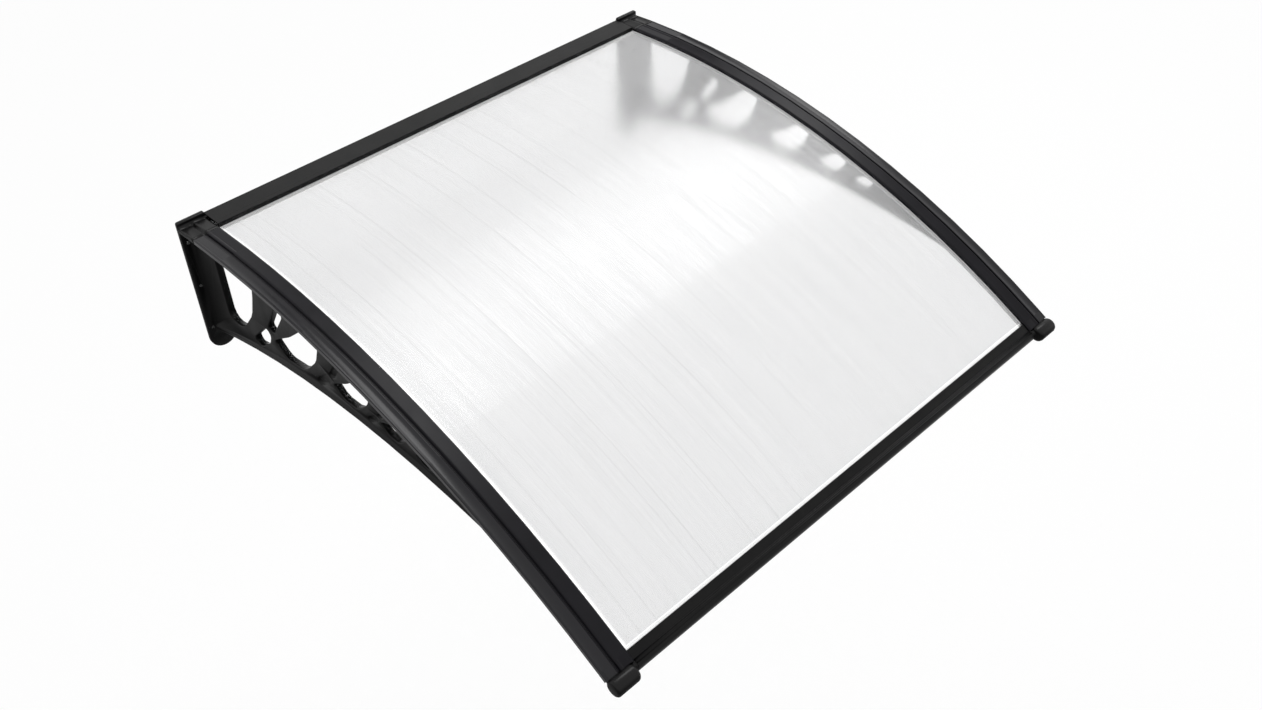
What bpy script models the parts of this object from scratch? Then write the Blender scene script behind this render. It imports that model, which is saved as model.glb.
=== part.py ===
"""Door canopy: two moulded fretwork brackets carry a curved twin-wall sheet between two bars.

Metres, +Z up. The wall is the plane Y = 0 and the canopy reaches out along -Y.
The origin is the middle of the wall seal's back, in the wall plane.
A reach is a distance out from the wall. A section's points are (across, above): across is measured
from a bracket's outer face towards the middle, above from the rail's top surface outwards.
"""

import math

import bmesh
import bpy
from mathutils import Matrix, Vector

# Overall sizes
WIDTH = 1.000
NOSE_REACH = 0.973
RAIL_RADIUS = 1.650
RAIL_TOP_REACH = 0.135
RAIL_TOP_DROP = 0.002
GAP = 0.0003
ARC_STEP = 0.072
WELD = 0.000001

# Twin-wall sheet and its gaskets
SHEET_THICK = 0.005
SHEET_SKIN = 0.0007
SHEET_RIB = 0.0007
FLUTES = 18
SHEET_DEPTH = 0.0075
SHEET_REAR_REACH = 0.016
GASKET_THICK = 0.001
GASKET_WIDTH = 0.011
GASKET_INSET = 0.001

# Clamping strip on top of each rail
RAIL_WIDTH = 0.0475
STRIP_WALL = 0.0022
BAND_DROP = 0.0026
BEAD_RISE = 0.0007
BEAD_WIDTH = 0.0040
OUTER_BAND = 0.0200
GROOVE_WIDTH = 0.0030
GROOVE_DROP = 0.0039
RIDGE_WIDTH = 0.0045
INNER_DROP = 0.0008
EDGE_ROUND = 0.0040
SIDE_LIP = 0.0095
SADDLE_LEAN = 0.0012
SADDLE_SHOULDER = 0.0020

# Rail of the bracket under the strip
FLANGE_REVEAL = 0.0012
FLANGE_THICK = 0.0030
FLANGE_INSET = 0.0026
CORE_WIDTH = 0.0110
CORE_SHIFT = 0.0015
LEDGE_INSET = 0.0010
HEAD_LENGTH = 0.055
OVERLAP = 0.0020
RAIL_ROOT = 0.0060
HEAD_ROOT = 0.0052
STOP_ROOT = 0.0044
CHORD_ROOT = 0.0056

# Wall plate
PLATE_WIDTH = 0.0490
PLATE_STRAIGHT = 0.2335
PLATE_THICK = 0.0080
PLATE_CORNER = 0.0030
PLATE_CHAMFER = 0.0012
WALL_HOLE_RADIUS = 0.0033
WALL_HOLE_SPREAD = 0.0145
WALL_HOLE_DROPS = (0.040, 0.125, 0.212)

# Web with its fretwork
WEB_THICK = 0.0120
WEB_ROUND = 0.0018
WEB_LAND = 0.0021
CHORD_RADIUS = 1.610
CHORD_TOP_REACH = 0.505
CHORD_TOP_DROP = 0.141
CHORD_FLANGE_WIDTH = 0.0210
CHORD_FLANGE_THICK = 0.0070
CHORD_BAND_WALL = 0.037
CHORD_BAND_TIP = 0.014
CHORD_BAND_REACH = 0.720
WALL_MEMBER = 0.069
FIRST_ARM_REACH = 0.182
FIRST_PITCH = 0.171
PITCH_RATIO = 0.71
MOTIFS = 5
RELIEF_DEPTH = 0.0030

# Round nose at the front end
NOSE_RADIUS = 0.0128
NOSE_SINK = 0.0061
NOSE_LENGTH = 0.0412
NOSE_INSET = 0.0010
NOSE_OUTER_ROUND = 0.0042
NOSE_INNER_ROUND = 0.0092
SHOULDER_LAP = 0.0040

# Front bar: a tube with a clip for the sheet's edge
TUBE_RADIUS = 0.0090
TUBE_WALL = 0.0015
TUBE_DEPTH = 0.0113
TUBE_SETBACK = 0.0063
CLIP_LENGTH = 0.0205
CLIP_LIP = 0.0020
SPIGOT_LENGTH = 0.016
TONGUE_LAP = 0.0060

# Rear bar: a hollow bar with a slot for the sheet's edge
REAR_BAR_DROP = 0.004
REAR_BAR_HEIGHT = 0.020
REAR_BAR_DEPTH = 0.0440
REAR_BAR_WALL = 0.0018
REAR_CHAMBER_DEPTH = 0.0120
SEAL_THICK = 0.002
SEAL_HEIGHT = 0.012

# Screws
SCREW_RADIUS = 0.0018
SCREW_HEAD_RADIUS = 0.0042
SCREW_HEAD_HEIGHT = 0.0022
STRIP_SCREWS = 5
STRIP_SCREW_ACROSS = 0.0100
STRIP_SCREW_INSET = 0.045
BOSS_WALL = 0.0016
BAR_SCREW_INSET = 0.0085
SCREW_GRIP = 0.0070

# Places that follow from the sizes
PLATE_TOP = REAR_BAR_DROP + REAR_BAR_HEIGHT / 2
RAIL_ARC = (RAIL_TOP_REACH, PLATE_TOP - RAIL_TOP_DROP - RAIL_RADIUS, RAIL_RADIUS)
CHORD_ARC = (CHORD_TOP_REACH, PLATE_TOP - CHORD_TOP_DROP - CHORD_RADIUS, CHORD_RADIUS)
OUTER_FACE = -WIDTH / 2
WEB_CENTRE = PLATE_WIDTH / 2
CORE_OUTER = WEB_CENTRE - CORE_WIDTH / 2 + CORE_SHIFT
CORE_INNER = CORE_OUTER + CORE_WIDTH
SHEET_EDGE = CORE_INNER + 2 * GAP
CORE_TOP = GROOVE_DROP + STRIP_WALL
SHEET_BOTTOM = SHEET_DEPTH + SHEET_THICK
GASKET_TOP = SHEET_BOTTOM + GAP
LEDGE_TOP = GASKET_TOP + GASKET_THICK + GAP
RAIL_BOTTOM = LEDGE_TOP + FLANGE_THICK
ARC_SAG = ARC_STEP ** 2 / (8 * RAIL_RADIUS)
FLANGE_TOP = SIDE_LIP - FLANGE_REVEAL
FLANGE_BOTTOM = FLANGE_TOP + FLANGE_THICK
SLOT_TOP = SHEET_DEPTH - GAP
SLOT_BOTTOM = LEDGE_TOP
REAR_BAR_BACK = SEAL_THICK + GAP
REAR_BAR_END = PLATE_WIDTH + GAP

parts = bpy.data.collections.new("door_canopy")
helpers = bpy.data.collections.new("door_canopy_cutters")


def angle_at(arc, reach, depth=0.0):
    return math.asin((reach - arc[0]) / (arc[2] - depth))


def point_on(arc, angle, above=0.0):
    """Reach and height of the point that stands this far above an arc."""
    radius = arc[2] + above
    return arc[0] + radius * math.sin(angle), arc[1] + radius * math.cos(angle)


def height_on(arc, reach, depth=0.0):
    return point_on(arc, angle_at(arc, reach, depth), -depth)[1]


NOSE_ANGLE = angle_at(RAIL_ARC, NOSE_REACH, NOSE_SINK)
TUBE_ANGLE = NOSE_ANGLE - TUBE_SETBACK / RAIL_RADIUS
STRIP_END_ANGLE = NOSE_ANGLE - (math.sqrt(NOSE_RADIUS ** 2 - NOSE_SINK ** 2) + GAP) / RAIL_RADIUS
CLIP_ANGLE = TUBE_ANGLE - CLIP_LENGTH / RAIL_RADIUS
SHEET_END_ANGLE = TUBE_ANGLE - (TUBE_RADIUS + 2 * GAP) / RAIL_RADIUS
SHEET_START_ANGLE = angle_at(RAIL_ARC, SHEET_REAR_REACH)
REAR_LIP_ANGLE = angle_at(RAIL_ARC, REAR_BAR_BACK + REAR_BAR_DEPTH)
HEAD_ANGLE = angle_at(RAIL_ARC, HEAD_LENGTH)
MARKS = [SHEET_START_ANGLE, REAR_LIP_ANGLE, HEAD_ANGLE, CLIP_ANGLE, STRIP_END_ANGLE]


def stations(arc, start, end):
    """Angles along an arc that every swept piece shares, so that nested pieces bend together."""
    step = ARC_STEP / arc[2]
    marks = MARKS if arc is RAIL_ARC else []
    grid = [k * step for k in range(math.ceil(start / step), math.floor(end / step) + 1)]
    shared = marks + [a for a in grid if all(abs(a - mark) > step / 3 for mark in marks + [start, end])]
    return [start] + sorted(a for a in shared if start < a < end) + [end]


def material(name, colour, roughness, metallic=0.0, alpha=1.0):
    made = bpy.data.materials.new(name)
    made.use_nodes = True
    shader = made.node_tree.nodes["Principled BSDF"]
    shader.inputs["Base Color"].default_value = (*colour, 1.0)
    shader.inputs["Roughness"].default_value = roughness
    shader.inputs["Metallic"].default_value = metallic
    shader.inputs["Alpha"].default_value = alpha
    return made


def add(name, mesh, where=None):
    made = bpy.data.objects.new(name, mesh)
    (where or parts).objects.link(made)
    if where is helpers:
        made.hide_render = True
        made.display_type = "WIRE"
    return made


def as_mesh(source):
    """A curve or a piece with modifiers as one plain mesh in world space, its caps welded."""
    bpy.context.view_layer.update()
    seen = source.evaluated_get(bpy.context.evaluated_depsgraph_get())
    mesh = bpy.data.meshes.new_from_object(seen)
    mesh.transform(source.matrix_world)
    build = bmesh.new()
    build.from_mesh(mesh)
    bmesh.ops.remove_doubles(build, verts=build.verts, dist=WELD)
    build.to_mesh(mesh)
    build.free()
    bpy.data.objects.remove(source)
    return mesh


def flat_curve(outlines, half_thick=0.0, edge=0.0, edge_steps=0):
    """A filled flat curve in its own XY plane; outlines after the first are holes, and both rims of its
    thickness are broken by an edge of this depth, flat or in steps."""
    curve = bpy.data.curves.new("outline", "CURVE")
    curve.dimensions = "2D"
    curve.fill_mode = "BOTH" if half_thick else "FRONT"
    curve.extrude = half_thick - edge
    curve.bevel_depth = edge
    curve.bevel_resolution = edge_steps
    curve.offset = -edge
    for outline in outlines:
        spline = curve.splines.new("POLY")
        spline.points.add(len(outline) - 1)
        for point, (u, v) in zip(spline.points, outline):
            point.co = (u, v, 0, 1)
        spline.use_cyclic_u = True
    return add("outline", curve, helpers)


def swept(name, outlines, arc, start, end, where=None):
    """A section carried along an arc about an axis parallel to X, facet by facet."""
    mesh = as_mesh(flat_curve(outlines))
    build = bmesh.new()
    build.from_mesh(mesh)
    angles = stations(arc, start, end)
    reach, height = point_on(arc, start)
    turn = Matrix.Rotation(math.pi / 2 + start, 4, "X")
    bmesh.ops.transform(build, matrix=Matrix.Translation((0, -reach, height)) @ turn, verts=build.verts)
    centre = (0, -arc[0], arc[1])
    faces = build.faces[:]
    for before, after in zip(angles, angles[1:]):
        grown = bmesh.ops.extrude_face_region(build, geom=faces)["geom"]
        if before > start:
            bmesh.ops.delete(build, geom=faces, context="FACES")
        faces = [item for item in grown if isinstance(item, bmesh.types.BMFace)]
        moved = [item for item in grown if isinstance(item, bmesh.types.BMVert)]
        step = Matrix.Rotation(after - before, 3, "X")
        bmesh.ops.rotate(build, cent=centre, matrix=step, verts=moved)
    bmesh.ops.recalc_face_normals(build, faces=build.faces)
    build.to_mesh(mesh)
    build.free()
    mesh.name = name
    return add(name, mesh, where)


def board(name, outlines, across, thick, edge=0.0, where=None):
    """A flat outline in (reach, height), with its thickness across the canopy."""
    flat = flat_curve(outlines, thick / 2, edge, 1)
    flat.matrix_world = Matrix(((0, 0, -1, across), (-1, 0, 0, 0), (0, 1, 0, 0), (0, 0, 0, 1)))
    return add(name, as_mesh(flat), where)


def rod(name, radius, start, end, sides=16, where=None):
    """A round bar from one point to another."""
    start, end = Vector(start), Vector(end)
    build = bmesh.new()
    bmesh.ops.create_cone(build, cap_ends=True, segments=sides, radius1=radius, radius2=radius,
                          depth=(end - start).length)
    turn = Vector((0, 0, 1)).rotation_difference(end - start).to_matrix().to_4x4()
    bmesh.ops.transform(build, matrix=Matrix.Translation((start + end) / 2) @ turn, verts=build.verts)
    mesh = bpy.data.meshes.new(name)
    build.to_mesh(mesh)
    build.free()
    return add(name, mesh, where)


def turned(name, profile, at, towards, sides, where=None):
    """A profile of (radius, distance) turned about an axis that leaves at in the direction towards."""
    mesh = bpy.data.meshes.new(name)
    mesh.from_pydata([(r, 0, z) for r, z in profile], [(k, k + 1) for k in range(len(profile) - 1)], [])
    made = add(name, mesh, where)
    lathe = made.modifiers.new("turned", "SCREW")
    lathe.steps = lathe.render_steps = sides
    lathe.use_merge_vertices = True
    lathe.merge_threshold = WELD
    lathe.use_normal_flip = True
    made.location = at
    made.rotation_mode = "QUATERNION"
    made.rotation_quaternion = Vector((0, 0, 1)).rotation_difference(Vector(towards))
    return made


def block(name, low, high, where=None):
    build = bmesh.new()
    bmesh.ops.create_cube(build, size=1)
    size = Vector(high) - Vector(low)
    bmesh.ops.scale(build, vec=size, verts=build.verts)
    bmesh.ops.translate(build, vec=(Vector(low) + Vector(high)) / 2, verts=build.verts)
    mesh = bpy.data.meshes.new(name)
    build.to_mesh(mesh)
    build.free()
    return add(name, mesh, where)


def combine(target, others, operation):
    for other in others:
        step = target.modifiers.new(operation.lower(), "BOOLEAN")
        step.operation = operation
        step.object = other


def mirrored(source, name):
    """The same piece for the other side of the canopy."""
    bpy.context.view_layer.update()
    seen = source.evaluated_get(bpy.context.evaluated_depsgraph_get())
    mesh = bpy.data.meshes.new_from_object(seen)
    mesh.transform(Matrix.Scale(-1, 4, (1, 0, 0)))
    mesh.flip_normals()
    mesh.name = name
    return add(name, mesh)


def rounded(corners, turn=math.radians(30)):
    """A closed outline from (u, v, radius) corners, each rounded by an arc."""
    outline = []
    for before, here, after in zip(corners[-1:] + corners[:-1], corners, corners[1:] + corners[:1]):
        if here[2] == 0:
            outline.append(here[:2])
            continue
        tip = Vector(here[:2])
        back, on = Vector(before[:2]) - tip, Vector(after[:2]) - tip
        half = back.angle(on) / 2
        reach = min(here[2] / math.tan(half), 0.48 * back.length, 0.48 * on.length)
        radius = reach * math.tan(half)
        centre = tip + (back.normalized() + on.normalized()).normalized() * radius / math.sin(half)
        first = tip + back.normalized() * reach - centre
        last = tip + on.normalized() * reach - centre
        steps = max(1, round((math.pi - 2 * half) / turn))
        sweep = first.angle_signed(last)
        outline += [tuple(centre + Matrix.Rotation(-sweep * k / steps, 2) @ first) for k in range(steps + 1)]
    return outline


# Sections of the strip, the rail and the rear head

STRIP_TOP = [
    (0.0, -BAND_DROP - BEAD_RISE),
    (BEAD_WIDTH / 4, -BAND_DROP + BEAD_RISE),
    (BEAD_WIDTH * 3 / 4, -BAND_DROP + BEAD_RISE),
    (BEAD_WIDTH, -BAND_DROP),
    (OUTER_BAND - BEAD_WIDTH * 3 / 4, -BAND_DROP),
    (OUTER_BAND - BEAD_WIDTH / 2, -BAND_DROP + BEAD_RISE),
    (OUTER_BAND, -BAND_DROP + BEAD_RISE),
    (OUTER_BAND + GROOVE_WIDTH * 0.35, -GROOVE_DROP),
    (OUTER_BAND + GROOVE_WIDTH, -GROOVE_DROP),
    (OUTER_BAND + GROOVE_WIDTH * 1.4, -INNER_DROP),
    (OUTER_BAND + GROOVE_WIDTH * 1.8, 0.0),
    (OUTER_BAND + GROOVE_WIDTH * 1.8 + RIDGE_WIDTH / 2, 0.0),
    (OUTER_BAND + GROOVE_WIDTH * 1.8 + RIDGE_WIDTH, -INNER_DROP),
    (RAIL_WIDTH - EDGE_ROUND, -INNER_DROP),
    (RAIL_WIDTH - EDGE_ROUND / 2, -INNER_DROP - EDGE_ROUND / 8),
    (RAIL_WIDTH, -INNER_DROP - EDGE_ROUND * 0.6),
]
STRIP_SECTION = [(0.0, -SIDE_LIP)] + STRIP_TOP + [
    (RAIL_WIDTH, -SLOT_TOP),
    (RAIL_WIDTH - STRIP_WALL, -SLOT_TOP),
    (RAIL_WIDTH - STRIP_WALL, -INNER_DROP - STRIP_WALL - EDGE_ROUND / 10),
    (CORE_INNER + SADDLE_LEAN, -INNER_DROP - STRIP_WALL),
    (CORE_INNER, -CORE_TOP + GAP),
    (CORE_OUTER - SADDLE_SHOULDER, -CORE_TOP + GAP),
    (CORE_OUTER - SADDLE_SHOULDER - SADDLE_LEAN, -BAND_DROP - STRIP_WALL),
    (STRIP_WALL, -BAND_DROP - STRIP_WALL),
    (STRIP_WALL, -SIDE_LIP),
]
FLANGE_EDGE = WEB_CENTRE - CHORD_FLANGE_WIDTH / 2
RAIL_SECTION = [
    (RAIL_WIDTH - LEDGE_INSET, -LEDGE_TOP),
    (RAIL_WIDTH - LEDGE_INSET, -RAIL_BOTTOM),
    (FLANGE_EDGE + LEDGE_INSET / 2, -RAIL_BOTTOM),
    (FLANGE_EDGE + LEDGE_INSET / 2, -LEDGE_TOP),
    (CORE_OUTER, -LEDGE_TOP),
    (CORE_OUTER, -FLANGE_BOTTOM),
    (FLANGE_INSET, -FLANGE_BOTTOM),
    (FLANGE_INSET, -FLANGE_TOP),
    (CORE_OUTER, -FLANGE_TOP),
    (CORE_OUTER, -CORE_TOP),
    (CORE_INNER, -CORE_TOP),
    (CORE_INNER, -LEDGE_TOP),
]
HEAD_SECTION = [(0.0, -SIDE_LIP)] + STRIP_TOP + [
    (RAIL_WIDTH, -SLOT_TOP),
    (CORE_INNER - OVERLAP, -SLOT_TOP),
    (CORE_INNER - OVERLAP, -SIDE_LIP),
]
STOP_SECTION = [
    (CORE_INNER - OVERLAP, -SLOT_TOP + OVERLAP),
    (RAIL_WIDTH - LEDGE_INSET / 2, -SLOT_TOP + OVERLAP),
    (RAIL_WIDTH - LEDGE_INSET / 2, -SLOT_BOTTOM - FLANGE_THICK / 2),
    (CORE_INNER - OVERLAP, -SLOT_BOTTOM - FLANGE_THICK / 2),
]


def at_side(section):
    return [(OUTER_FACE + across, above) for across, above in section]


# Fretwork: a scrolled motif that repeats towards the front, each time smaller

def floor_height(reach):
    """Top edge of the solid band along the lower chord."""
    share = min(1.0, reach / CHORD_BAND_REACH)
    return height_on(CHORD_ARC, reach) + CHORD_BAND_WALL + share * (CHORD_BAND_TIP - CHORD_BAND_WALL)


def spot(reach, share):
    """A place in the web, from its floor (0) to just under the rail (1)."""
    low = floor_height(reach)
    return reach, low + share * (height_on(RAIL_ARC, reach, RAIL_BOTTOM) - WEB_LAND - low)


def corner(start, pitch, along, share, radius):
    return (*spot(start + along * pitch, share), radius * pitch)


ARMS = [FIRST_ARM_REACH]
PITCHES = [FIRST_PITCH]
for _ in range(MOTIFS):
    ARMS.append(ARMS[-1] + PITCHES[-1])
    PITCHES.append(PITCHES[-1] * PITCH_RATIO)


def large_opening(k):
    """Between two arms: upright at the wall, and from there on a wedge that points back under the leaf."""
    start, pitch = ARMS[k], PITCHES[k]
    if k == 0:
        rear = [
            (*spot(WALL_MEMBER, 1.00), 0.006),
            (*spot(WALL_MEMBER, -0.01), 0.022),
            corner(start, pitch, -0.42, -0.02, 0.16),
        ]
    else:
        before, wide = ARMS[k - 1], PITCHES[k - 1]
        rear = [
            corner(before, wide, 0.86, 1.00, 0.03),
            corner(before, wide, 0.48, 0.39, 0.40),
            corner(before, wide, 0.17, 0.10, 0.03),
            corner(before, wide, 0.33, -0.12, 0.14),
            corner(start, pitch, -0.50, -0.11, 0.22),
        ]
    return rounded(rear + [
        corner(start, pitch, -0.17, 0.30, 0.30),
        corner(start, pitch, -0.065, 0.66, 0.50),
        corner(start, pitch, 0.00, 1.00, 0.04),
    ])


def leaf_opening(k):
    """The slanted leaf beside an arm."""
    start, pitch = ARMS[k], PITCHES[k]
    leaf = ((0.335, 0.81), (0.440, 0.74), (0.195, 0.23), (0.095, 0.27))
    return rounded([corner(start, pitch, along, share, 0.05) for along, share in leaf], math.radians(40))


def arch_opening(k):
    """The small arch at an arm's foot."""
    start, pitch = ARMS[k], PITCHES[k]
    arch = ((0.05, 0.24), (-0.24, -0.08), (-0.15, -0.19), (0.06, -0.03), (0.12, 0.15))
    return rounded([corner(start, pitch, along, share, 0.055) for along, share in arch], math.radians(40))


def meeting_reach(above):
    """Reach at which a line this far above the lower chord's arc meets the underside of the rail."""
    low, high = CHORD_TOP_REACH, NOSE_REACH
    while high - low > GAP:
        middle = (low + high) / 2
        if height_on(CHORD_ARC, middle) + above > height_on(RAIL_ARC, middle, RAIL_BOTTOM):
            high = middle
        else:
            low = middle
    return high


def web_outline():
    """Between the rail and the lower chord, its edges sunk into both."""
    end = meeting_reach(CHORD_FLANGE_THICK)
    low = stations(CHORD_ARC, angle_at(CHORD_ARC, PLATE_THICK / 2), angle_at(CHORD_ARC, end))
    high = stations(RAIL_ARC, angle_at(RAIL_ARC, PLATE_THICK / 2, LEDGE_TOP),
                    angle_at(RAIL_ARC, end, LEDGE_TOP))
    outline = [point_on(CHORD_ARC, angle, CHORD_FLANGE_THICK / 2) for angle in low]
    return outline + [point_on(RAIL_ARC, angle, -LEDGE_TOP - FLANGE_THICK / 4) for angle in reversed(high)]


# Places on a bracket

def across_at(distance):
    return OUTER_FACE + distance


def front_frame(t, above):
    """Reach and height from the tube's centre: t down the slope, above square to it."""
    reach, height = point_on(RAIL_ARC, TUBE_ANGLE, -TUBE_DEPTH)
    return (reach + t * math.cos(TUBE_ANGLE) + above * math.sin(TUBE_ANGLE),
            height - t * math.sin(TUBE_ANGLE) + above * math.cos(TUBE_ANGLE))


def strip_screw_angles():
    first = HEAD_ANGLE + STRIP_SCREW_INSET / RAIL_RADIUS
    last = STRIP_END_ANGLE - STRIP_SCREW_INSET / RAIL_RADIUS
    return [first + (last - first) * k / (STRIP_SCREWS - 1) for k in range(STRIP_SCREWS)]


def along_normal(angle, across, above):
    reach, height = point_on(RAIL_ARC, angle, above)
    return across_at(across), -reach, height


TONGUE_LOW = (REAR_BAR_BACK + REAR_BAR_WALL + GAP, -REAR_BAR_HEIGHT / 2 + REAR_BAR_WALL + GAP)
TONGUE_HIGH = (REAR_BAR_BACK + REAR_CHAMBER_DEPTH - REAR_BAR_WALL - GAP,
               REAR_BAR_HEIGHT / 2 - REAR_BAR_WALL - GAP)
TONGUE_MIDDLE = (TONGUE_LOW[0] + TONGUE_HIGH[0]) / 2
PILOT_RADIUS = SCREW_RADIUS + GAP


def wall_plate():
    """Upright plate with a half-round foot; it stands a little above the rail."""
    half = PLATE_WIDTH / 2
    low = PLATE_TOP - PLATE_STRAIGHT
    foot = [(half - half * math.cos(math.pi * k / 14), low - half * math.sin(math.pi * k / 14), 0.0)
            for k in range(15)]
    corners = [(PLATE_WIDTH, PLATE_TOP, PLATE_CORNER), (0.0, PLATE_TOP, PLATE_CORNER)] + foot
    outline = [(across_at(u), v) for u, v in rounded(corners)]
    flat = flat_curve([outline], PLATE_THICK / 2, PLATE_CHAMFER)
    flat.matrix_world = Matrix(((1, 0, 0, 0), (0, 0, -1, -PLATE_THICK / 2), (0, 1, 0, 0), (0, 0, 0, 1)))
    return add("wall_plate", as_mesh(flat), helpers)


def bracket():
    """One moulding: wall plate, head, rail, web with fretwork, lower chord, nose and bar ends."""
    through = [large_opening(k) for k in range(MOTIFS)] + [leaf_opening(0), arch_opening(0)]
    blind = [opening(k) for opening in (leaf_opening, arch_opening) for k in range(1, MOTIFS - 2)]
    web = board("left_bracket", [web_outline()] + through, across_at(WEB_CENTRE), WEB_THICK, WEB_ROUND)
    faces = [across_at(WEB_CENTRE + side * WEB_THICK / 2) for side in (-1, 1)]
    reliefs = [board("relief", blind, face, 2 * RELIEF_DEPTH, where=helpers) for face in faces]
    combine(web, reliefs, "DIFFERENCE")
    rail = swept("rail", [at_side(RAIL_SECTION)], RAIL_ARC, angle_at(RAIL_ARC, RAIL_ROOT),
                 NOSE_ANGLE, helpers)
    head = swept("head", [at_side(HEAD_SECTION)], RAIL_ARC, angle_at(RAIL_ARC, HEAD_ROOT),
                 HEAD_ANGLE, helpers)
    stop = swept("sheet_stop", [at_side(STOP_SECTION)], RAIL_ARC, angle_at(RAIL_ARC, STOP_ROOT),
                 SHEET_START_ANGLE - GAP / RAIL_RADIUS, helpers)
    low, high = FLANGE_EDGE, FLANGE_EDGE + CHORD_FLANGE_WIDTH
    bevel = CHORD_FLANGE_THICK / 4
    chord_section = [(low, bevel), (low + bevel, 0), (high - bevel, 0), (high, bevel),
                     (high, CHORD_FLANGE_THICK - bevel), (high - bevel, CHORD_FLANGE_THICK),
                     (low + bevel, CHORD_FLANGE_THICK), (low, CHORD_FLANGE_THICK - bevel)]
    chord = swept("chord", [at_side(chord_section)], CHORD_ARC, angle_at(CHORD_ARC, CHORD_ROOT),
                  angle_at(CHORD_ARC, meeting_reach(0.0)), helpers)
    nose_at = point_on(RAIL_ARC, NOSE_ANGLE, -NOSE_SINK)
    half_section = rounded([(0.0, 0.0, 0.0), (NOSE_RADIUS, 0.0, NOSE_OUTER_ROUND),
                            (NOSE_RADIUS, NOSE_LENGTH, NOSE_INNER_ROUND), (0.0, NOSE_LENGTH, 0.0)])
    nose = turned("nose", half_section, (across_at(NOSE_INSET), -nose_at[0], nose_at[1]), (1, 0, 0), 20,
                  helpers)
    tube_at = front_frame(0, 0)
    nose_end = NOSE_INSET + NOSE_LENGTH
    shoulder = rod("shoulder", TUBE_RADIUS, (across_at(nose_end - SHOULDER_LAP), -tube_at[0], tube_at[1]),
                   (across_at(RAIL_WIDTH), -tube_at[0], tube_at[1]), 16, helpers)
    spigot = rod("spigot", TUBE_RADIUS - TUBE_WALL - GAP, (across_at(nose_end), -tube_at[0], tube_at[1]),
                 (across_at(RAIL_WIDTH + SPIGOT_LENGTH), -tube_at[0], tube_at[1]), 16, helpers)
    tongue = block("tongue", (across_at(RAIL_WIDTH - TONGUE_LAP), -TONGUE_HIGH[0], TONGUE_LOW[1]),
                   (across_at(REAR_BAR_END + SPIGOT_LENGTH), -TONGUE_LOW[0], TONGUE_HIGH[1]), helpers)
    combine(web, [rail, head, stop, chord, wall_plate(), nose, shoulder, spigot, tongue], "UNION")
    slot = [(CORE_INNER + GAP / 2, -SLOT_TOP), (PLATE_WIDTH, -SLOT_TOP),
            (PLATE_WIDTH, -SLOT_BOTTOM + GAP / 2), (CORE_INNER + GAP / 2, -SLOT_BOTTOM + GAP / 2)]
    cutters = [swept("sheet_slot", [at_side(slot)], RAIL_ARC, HEAD_ANGLE + OVERLAP, CLIP_ANGLE, helpers)]
    for drop in WALL_HOLE_DROPS:
        for side in (-1, 1):
            x, z = across_at(WEB_CENTRE + side * WALL_HOLE_SPREAD), PLATE_TOP - drop
            cutters.append(rod("wall_hole", WALL_HOLE_RADIUS, (x, OVERLAP, z), (x, -PLATE_THICK - OVERLAP, z),
                               12, helpers))
    for angle in strip_screw_angles():
        cutters.append(rod("strip_screw_hole", PILOT_RADIUS,
                           along_normal(angle, STRIP_SCREW_ACROSS, -FLANGE_TOP + OVERLAP),
                           along_normal(angle, STRIP_SCREW_ACROSS, -FLANGE_BOTTOM - OVERLAP), 8, helpers))
    x = across_at(REAR_BAR_END + BAR_SCREW_INSET)
    cutters.append(rod("rear_pilot", PILOT_RADIUS, (x, -TONGUE_MIDDLE, TONGUE_LOW[1] - OVERLAP),
                       (x, -TONGUE_MIDDLE, TONGUE_LOW[1] + SCREW_GRIP), 8, helpers))
    x = across_at(RAIL_WIDTH + BAR_SCREW_INSET)
    low_at, high_at = front_frame(0, -TUBE_RADIUS), front_frame(0, -TUBE_RADIUS + TUBE_WALL + SCREW_GRIP)
    cutters.append(rod("front_pilot", PILOT_RADIUS, (x, -low_at[0], low_at[1]),
                       (x, -high_at[0], high_at[1]), 8, helpers))
    combine(web, cutters, "DIFFERENCE")
    return web


def cover_strip():
    """Clamping strip with two bands and a groove; bosses under it take the screws."""
    strip = swept("left_cover_strip", [at_side(STRIP_SECTION)], RAIL_ARC, HEAD_ANGLE + GAP / RAIL_RADIUS,
                  STRIP_END_ANGLE)
    nose_at, tube_at = point_on(RAIL_ARC, NOSE_ANGLE, -NOSE_SINK), front_frame(0, 0)
    bosses = []
    pilots = [rod("nose_clearance", NOSE_RADIUS + GAP, (across_at(-OVERLAP), -nose_at[0], nose_at[1]),
                  (across_at(NOSE_INSET + NOSE_LENGTH + GAP), -nose_at[0], nose_at[1]), 20, helpers),
              rod("shoulder_clearance", TUBE_RADIUS + GAP,
                  (across_at(NOSE_INSET + NOSE_LENGTH), -tube_at[0], tube_at[1]),
                  (across_at(RAIL_WIDTH + OVERLAP), -tube_at[0], tube_at[1]), 16, helpers)]
    for angle in strip_screw_angles():
        bosses.append(rod("boss", SCREW_RADIUS + GAP + BOSS_WALL,
                          along_normal(angle, STRIP_SCREW_ACROSS, -BAND_DROP - STRIP_WALL / 2),
                          along_normal(angle, STRIP_SCREW_ACROSS, -FLANGE_TOP + GAP), 10, helpers))
        pilots.append(rod("boss_pilot", PILOT_RADIUS,
                          along_normal(angle, STRIP_SCREW_ACROSS, -FLANGE_TOP - OVERLAP),
                          along_normal(angle, STRIP_SCREW_ACROSS, -BAND_DROP - STRIP_WALL), 8, helpers))
    combine(strip, bosses, "UNION")
    combine(strip, pilots, "DIFFERENCE")
    return strip


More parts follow.
